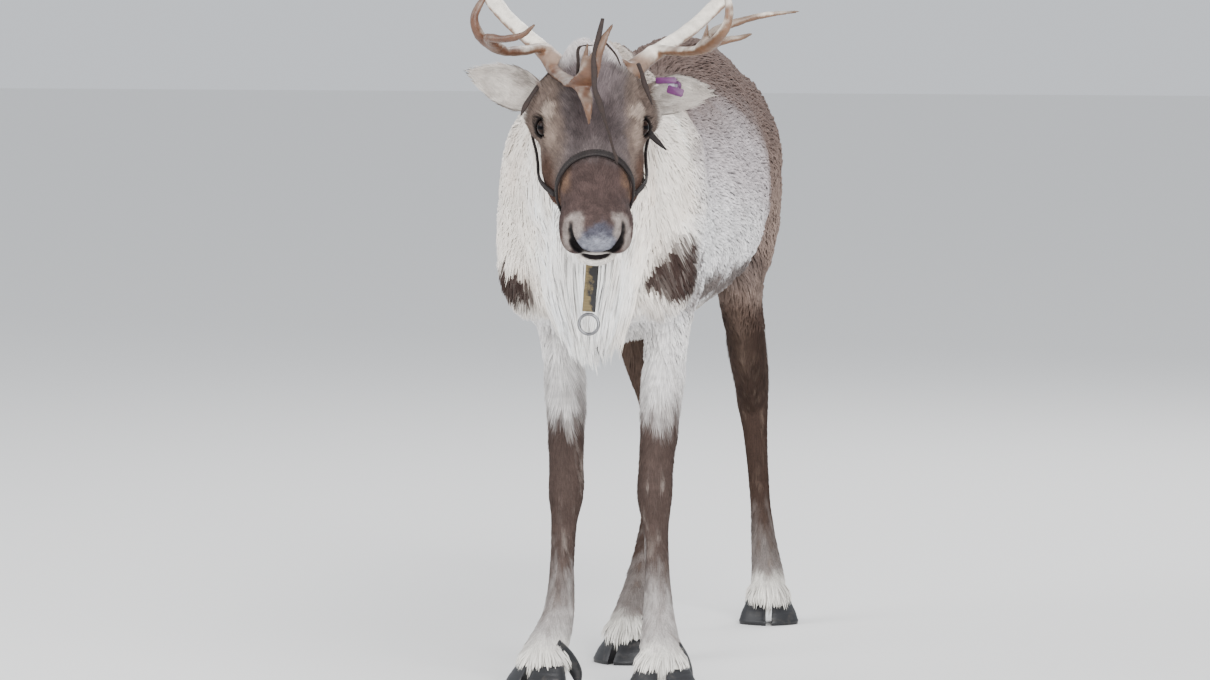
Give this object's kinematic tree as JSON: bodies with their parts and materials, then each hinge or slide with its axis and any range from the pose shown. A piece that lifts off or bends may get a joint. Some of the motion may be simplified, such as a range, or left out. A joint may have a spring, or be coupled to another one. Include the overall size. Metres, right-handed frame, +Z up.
{
  "type": "reindeer",
  "caption": "Still, life-size standing reindeer with antlers, autumn coat, hanging throat mane, halter and bare ear tag, resting on its hooves.",
  "frame": {"origin": "on the floor under the middle of the whole figure's box", "axes": "+Z up, the animal faces -Y and its left side is +X"},
  "size_m": [0.6715, 1.6281, 1.7126],
  "materials": {
    "coat": "deep hollow-haired coat, matt",
    "pale_coat": "long pale hair, matt",
    "face_coat": "short dense hair, matt",
    "leg_coat": "short dense hair, matt",
    "eye": "wet and clear",
    "antler": "bare bone, satin",
    "hoof": "horn, satin",
    "halter": "woven webbing, matt",
    "ring": "worn",
    "tag": "moulded, matt"
  },
  "bodies": {
    "root": {"antler_left_bez_tine": "antler", "antler_left_brow_tine": "antler", "antler_left_crown_tine_1": "antler", "antler_left_crown_tine_2": "antler", "antler_left_lower_beam": "antler", "antler_left_rear_tine": "antler", "antler_left_upper_beam": "antler", "antler_right_bez_tine": "antler", "antler_right_brow_tine": "antler", "antler_right_crown_tine_1": "antler", "antler_right_crown_tine_2": "antler", "antler_right_lower_beam": "antler", "antler_right_rear_tine": "antler", "antler_right_upper_beam": "antler", "ear_left": "face_coat", "ear_right": "face_coat", "ear_tag": "tag", "eye_left": "eye", "eye_right": "eye", "front_left_cannon": "leg_coat", "front_left_dewclaw_inner": "hoof", "front_left_dewclaw_outer": "hoof", "front_left_hoof_inner": "hoof", "front_left_hoof_outer": "hoof", "front_left_pastern": "leg_coat", "front_left_upper_leg": "leg_coat", "front_right_cannon": "leg_coat", "front_right_dewclaw_inner": "hoof", "front_right_dewclaw_outer": "hoof", "front_right_hoof_inner": "hoof", "front_right_hoof_outer": "hoof", "front_right_pastern": "leg_coat", "front_right_upper_leg": "leg_coat", "halter_cheek_left": "halter", "halter_cheek_right": "halter", "halter_drop": "halter", "halter_noseband": "halter", "halter_ring": "ring", "head": "face_coat", "hind_left_cannon": "leg_coat", "hind_left_dewclaw_inner": "hoof", "hind_left_dewclaw_outer": "hoof", "hind_left_hoof_inner": "hoof", "hind_left_hoof_outer": "hoof", "hind_left_pastern": "leg_coat", "hind_left_upper_leg": "leg_coat", "hind_right_cannon": "leg_coat", "hind_right_dewclaw_inner": "hoof", "hind_right_dewclaw_outer": "hoof", "hind_right_hoof_inner": "hoof", "hind_right_hoof_outer": "hoof", "hind_right_pastern": "leg_coat", "hind_right_upper_leg": "leg_coat", "neck": "pale_coat", "tail": "pale_coat", "torso": "coat"}
  },
  "joints": []
}
